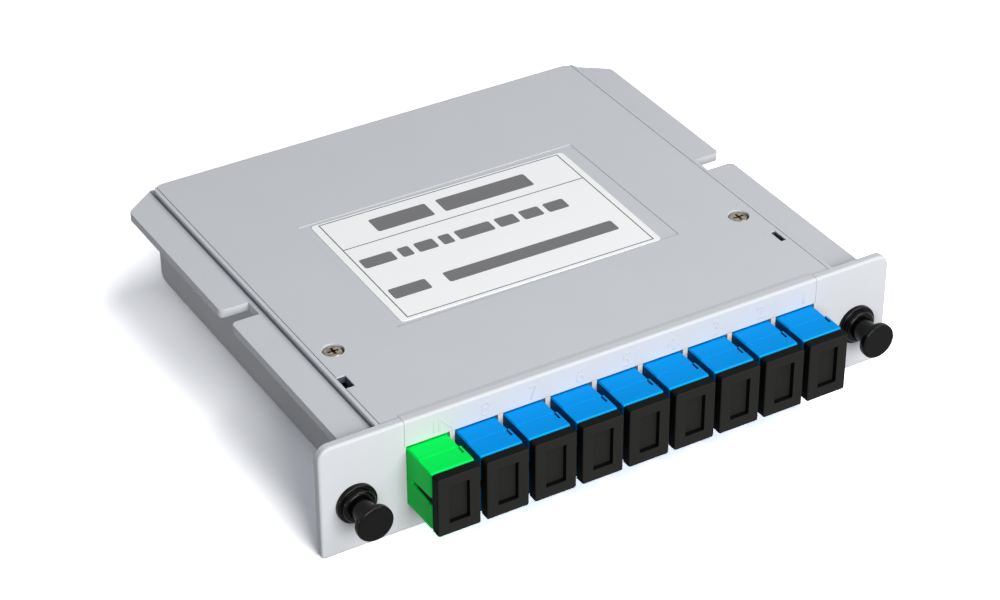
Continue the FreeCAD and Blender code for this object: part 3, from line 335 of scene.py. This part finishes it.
FINISHES = {
    # the housing gets painted shade in the snap slots and at the feet of the wall strips
    "housing_grey": moulded("housing_grey", linear(201, 203, 206), 0.56, 0.2, grain=0.22,
                            soft=0.18, painted_shade_boxes=SNAP_SLOTS, painted_crease_boxes=WALL_STRIP_FEET),
    "label_paper": paper("label_paper", linear(250, 250, 249)),
    "latch_black": moulded("latch_black", linear(6, 6, 5), 0.18, 0.16, grain=0.3,
                           grain_depth=0.004, soft=0.2, edge=1.3),
    # the adapters' left and right faces are darkened as painted shade
    "adapter_green": moulded("adapter_green", linear(0, 230, 84), painted_flank_shade=0.75, **ADAPTER),
    "adapter_blue": moulded("adapter_blue", linear(0, 142, 222), painted_flank_shade=0.3, **ADAPTER),
    # the cap's front faces are painted lighter, its other faces darker as painted shade
    "cap_black": moulded("cap_black", linear(8, 8, 8), 0.6, 0.06, grain=0.2, soft=0.1,
                         mottle=0.1, edge=1.2, front=linear(33, 34, 32)),
    "holder_white": moulded("holder_white", linear(232, 230, 222), 0.5, 0.3),
    "plug_green": moulded("plug_green", linear(30, 160, 74), 0.45, 0.3),
    "plug_blue": moulded("plug_blue", linear(22, 96, 190), 0.45, 0.3),
    "boot_white": rubber("boot_white", linear(226, 226, 222)),
    "module_boot_black": rubber("module_boot_black", linear(32, 32, 33)),
    "zirconia": ceramic("zirconia", linear(240, 239, 232)),
    "module_steel": brushed("module_steel", linear(196, 198, 202), 0.26),
    "fibre_natural": jacket("fibre_natural", linear(236, 234, 222)),
    "fibre_blue": jacket("fibre_blue", linear(28, 96, 200)),
    "fibre_orange": jacket("fibre_orange", linear(240, 128, 28)),
    "fibre_green": jacket("fibre_green", linear(32, 150, 66)),
    "fibre_brown": jacket("fibre_brown", linear(122, 74, 38)),
    "fibre_slate": jacket("fibre_slate", linear(112, 120, 130)),
    "fibre_white": jacket("fibre_white", linear(238, 238, 236)),
    "fibre_red": jacket("fibre_red", linear(206, 36, 34)),
    "fibre_black": jacket("fibre_black", linear(30, 30, 32)),
}
LINE_INK = ink("label_lines", linear(70, 70, 72))
FIELD_INK = ink("label_ink", linear(112, 112, 114))


def middle(node):
    low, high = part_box(node)
    return (low + high) / 2


def screw_zinc(node):
    """A screw's plating, turned about the screw's own middle."""
    return brushed(f"screw_zinc_{node}", linear(158, 150, 136), 0.22, middle(node),
                   tint=linear(52, 42, 26))


for node, thing in NODES.items():
    slot_name = thing.material_slots[0].material.name
    thing.material_slots[0].material = (
        screw_zinc(node) if slot_name == "screw_zinc" else FINISHES[slot_name])


# ---------------------------------------------------------------- new pieces
def new_piece(name, shape, material):
    """Turn a finished bmesh into a piece that rides on the housing."""
    mesh = bpy.data.meshes.new(name)
    shape.to_mesh(mesh)
    shape.free()
    piece = bpy.data.objects.new(name, mesh)
    bpy.context.scene.collection.objects.link(piece)
    mesh.materials.append(material)
    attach(piece, "housing")


def plate(shape, width, length, thickness, corner, place):
    """Add a thin plate with rounded corners, its middle at a place, to a bmesh."""
    sheet = bmesh.new()
    bmesh.ops.create_cube(sheet, size=1.0)
    bmesh.ops.scale(sheet, vec=(width, length, thickness), verts=sheet.verts)
    uprights = [edge for edge in sheet.edges
                if abs(edge.verts[0].co.z - edge.verts[1].co.z) > thickness / 2]
    if corner > 0:
        bmesh.ops.bevel(sheet, geom=uprights, offset=corner, offset_type="OFFSET", segments=4,
                        profile=0.5, affect="EDGES", material=-1)
    bmesh.ops.transform(sheet, matrix=place, verts=sheet.verts)
    join(shape, sheet)


def join(shape, added):
    """Put one bmesh's faces into another."""
    mesh = bpy.data.meshes.new("added")
    added.to_mesh(mesh)
    added.free()
    shape.from_mesh(mesh)
    bpy.data.meshes.remove(mesh)


# the label's print, in millimetres from the label's middle
LABEL_TILT = math.radians(-0.9)
INK_THICKNESS = 0.02
LABEL_LEFT, LABEL_RIGHT, LABEL_FOOT, LABEL_HEAD = -28.35, 28.6, -19.2, 19.5
LABEL_DIVIDER = 8.55
LABEL_LINE = 0.22
FIELD_CORNER = 0.5

# its rows of plain fields: left end, foot, height, then each field's width and gap
LABEL_ROWS = (
    (-18.6, 11.3, 5.0, ((13.2, 2.5), (21.2, 0))),
    (-27.3, 0.2, 3.5, ((7.3, 1.3), (2.6, 1.2), (4.4, 1.2), (2.6, 1.2), (8.2, 1.2), (4.6, 1.2),
                       (4.6, 1.2), (4.8, 0))),
    (-27.3, -12.4, 3.7, ((8.4, 4.0), (39.5, 0))),
)


def make_label_print():
    """A frame line and a dividing line on the label, and rows of plain fields."""
    low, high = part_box("label")
    centre = (low + high) / 2
    top = high.z + INK_THICKNESS * MM / 2
    about = (Matrix.Translation((centre.x, centre.y, top))
             @ Matrix.Rotation(LABEL_TILT, 4, "Z"))

    def field(shape, left, right, foot, head, corner=0.0):
        place = about @ Matrix.Translation(((left + right) / 2 * MM, (foot + head) / 2 * MM, 0))
        plate(shape, (right - left) * MM, (head - foot) * MM, INK_THICKNESS * MM, corner * MM,
              place)

    lines = bmesh.new()
    field(lines, LABEL_LEFT, LABEL_RIGHT, LABEL_HEAD - LABEL_LINE, LABEL_HEAD)
    field(lines, LABEL_LEFT, LABEL_RIGHT, LABEL_FOOT, LABEL_FOOT + LABEL_LINE)
    between = (LABEL_FOOT + LABEL_LINE, LABEL_HEAD - LABEL_LINE)
    field(lines, LABEL_LEFT, LABEL_LEFT + LABEL_LINE, *between)
    field(lines, LABEL_RIGHT - LABEL_LINE, LABEL_RIGHT, *between)
    field(lines, LABEL_LEFT + LABEL_LINE, LABEL_RIGHT - LABEL_LINE,
          LABEL_DIVIDER - LABEL_LINE / 2, LABEL_DIVIDER + LABEL_LINE / 2)

    fields = bmesh.new()
    for start, foot, height, widths in LABEL_ROWS:
        for width, gap in widths:
            field(fields, start, start + width, foot, foot + height, FIELD_CORNER)
            start += width + gap
    new_piece("label_lines", lines, LINE_INK)
    new_piece("label_fields", fields, FIELD_INK)


# the port marks, in millimetres: each stands a little to the right of its port
MARK_SIZE = 4.6
MARK_RELIEF = 0.05
MARK_HEIGHT = 21.8
DIGIT_OFFSET, WORD_OFFSET = 2.0, 3.2


def mark_mesh(mark):
    """A mark's raised outline as a mesh about its own middle."""
    letters = bpy.data.curves.new("mark", "FONT")
    letters.body = mark
    letters.size = MARK_SIZE * MM
    letters.align_x = "CENTER"
    letters.align_y = "CENTER"
    letters.extrude = MARK_RELIEF * MM
    letters.resolution_u = 4
    thing = bpy.data.objects.new("mark", letters)
    bpy.context.scene.collection.objects.link(thing)
    bpy.context.view_layer.update()
    mesh = bpy.data.meshes.new_from_object(thing)
    bpy.data.objects.remove(thing)
    bpy.data.curves.remove(letters)
    return mesh


def make_port_marks():
    """The raised port marks over the ports: IN and the digits 8 to 1."""
    shape = bmesh.new()
    panel_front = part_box("base_tray")[0].y
    for name, mark in zip(PORT_NAMES, PORT_MARKS):
        mesh = mark_mesh(mark)
        offset = DIGIT_OFFSET if mark.isdigit() else WORD_OFFSET
        across = middle("adapter_" + name).x + offset * MM
        mesh.transform(Matrix.Translation((across, panel_front, MARK_HEIGHT * MM))
                       @ Matrix.Rotation(math.radians(90), 4, "X"))
        shape.from_mesh(mesh)
        bpy.data.meshes.remove(mesh)
    bmesh.ops.remove_doubles(shape, verts=shape.verts, dist=0.001 * MM)
    new_piece("port_marks", shape, FINISHES["housing_grey"])


make_label_print()
make_port_marks()


# ---------------------------------------------------------------- floor, light and camera
# the floor, in millimetres: its brightness is above 1, so that only a full shadow shows on it
FLOOR_SHOWN = (2.3, 2.3, 2.3)
FLOOR_BOUNCE = (0.3, 0.3, 0.305)
FLOOR_MIRRORED = ((0.69, 0.7, 0.7), (0.7, 0.71, 0.71))
FLOOR_RADIUS = 4000
FLOOR_BELOW = 0.02

SKY = (0.84, 0.89, 1.0)
SKY_STRENGTH = 0.15

# each lamp's elevation and side in degrees, distance and size in millimetres, and watts
LAMPS = {
    "key": (57, 46, 1050, 1000, 7.9),
    "fill": (18, -5, 1000, 600, 9.0),
    "side": (7, -95, 1000, 220, 1.1),
}
LIT_POINT = Vector((0, 40, 12)) * MM

# the camera's place: angles in degrees, lengths in millimetres
AZIMUTH, ELEVATION, ROLL = -30.497, 33.741, -0.260
CAMERA_TARGET = Vector((-0.872, 41.297, 12.0)) * MM
CAMERA_DISTANCE = 576.28 * MM
CAMERA_LENS, SENSOR_WIDTH = 100.97, 36.0


def make_floor():
    """A pale floor that shows nearly white to the camera and keeps the cassette's shadow."""
    made = Finish("floor")
    mirrored = made.blended(made.noise(160.0), *FLOOR_MIRRORED)
    unseen = made.blended(made.rays("Glossy", "Transmission"), FLOOR_BOUNCE, mirrored)
    tone = made.blended(made.rays("Camera"), unseen, FLOOR_SHOWN)
    made.node("OutputMaterial", {},
              {"Surface": made.node("BsdfDiffuse", {}, {"Color": tone})})
    shape = bmesh.new()
    bmesh.ops.create_circle(shape, cap_ends=True, radius=FLOOR_RADIUS * MM, segments=96)
    mesh = bpy.data.meshes.new("floor")
    shape.to_mesh(mesh)
    shape.free()
    mesh.transform(Matrix.Translation((0, 0, -FLOOR_BELOW * MM)))
    mesh.materials.append(made.material)
    floor = bpy.data.objects.new("floor", mesh)
    bpy.context.scene.collection.objects.link(floor)


def make_world():
    """Even, faint light from all round; white where the camera or a reflection sees it."""
    world = bpy.data.worlds.new("studio")
    bpy.context.scene.world = world
    world.use_nodes = True
    made = Nodes(world.node_tree)
    faint = made.node("Background", {}, {"Color": (*SKY, 1.0), "Strength": SKY_STRENGTH})
    white = made.node("Background", {}, {"Color": (1.0, 1.0, 1.0, 1.0), "Strength": 1.0})
    shown = made.rays("Camera", "Glossy", "Transmission")
    made.node("OutputWorld", {},
              {"Surface": made.node("MixShader", {}, {0: shown, 1: faint, 2: white})})


def make_lamp(name, elevation, side, distance, size, watts):
    """A large round lamp aimed at the cassette: side is its angle from the front rightwards."""
    light = bpy.data.lights.new(name, "AREA")
    light.shape = "DISK"
    light.size = size * MM
    light.energy = watts
    lamp = bpy.data.objects.new(name, light)
    bpy.context.scene.collection.objects.link(lamp)
    up, round_z = math.radians(elevation), math.radians(side)
    towards = Vector((math.sin(round_z) * math.cos(up), -math.cos(round_z) * math.cos(up),
                      math.sin(up)))
    lamp.matrix_world = (Matrix.Translation(LIT_POINT + towards * distance * MM)
                         @ towards.to_track_quat("Z", "Y").to_matrix().to_4x4())


def make_camera():
    """A long lens, from the front left and above."""
    azimuth, elevation, roll = (math.radians(angle) for angle in (AZIMUTH, ELEVATION, ROLL))
    back = Vector((math.sin(azimuth) * math.cos(elevation),
                   -math.cos(azimuth) * math.cos(elevation), math.sin(elevation)))
    right = Vector((0, 0, 1)).cross(back).normalized()
    up = back.cross(right)
    tilted_right = right * math.cos(roll) + up * math.sin(roll)
    tilted_up = up * math.cos(roll) - right * math.sin(roll)
    camera = bpy.data.objects.new("camera", bpy.data.cameras.new("camera"))
    camera.data.sensor_width = SENSOR_WIDTH
    camera.data.lens = CAMERA_LENS
    camera.data.clip_start = 0.01
    axes = Matrix((tilted_right, tilted_up, back)).transposed().to_4x4()
    camera.matrix_world = Matrix.Translation(CAMERA_TARGET + back * CAMERA_DISTANCE) @ axes
    bpy.context.scene.collection.objects.link(camera)
    bpy.context.scene.camera = camera


make_floor()
make_world()
for lamp_name, setting in LAMPS.items():
    make_lamp(lamp_name, *setting)
make_camera()
bpy.context.scene.view_settings.view_transform = "Standard"
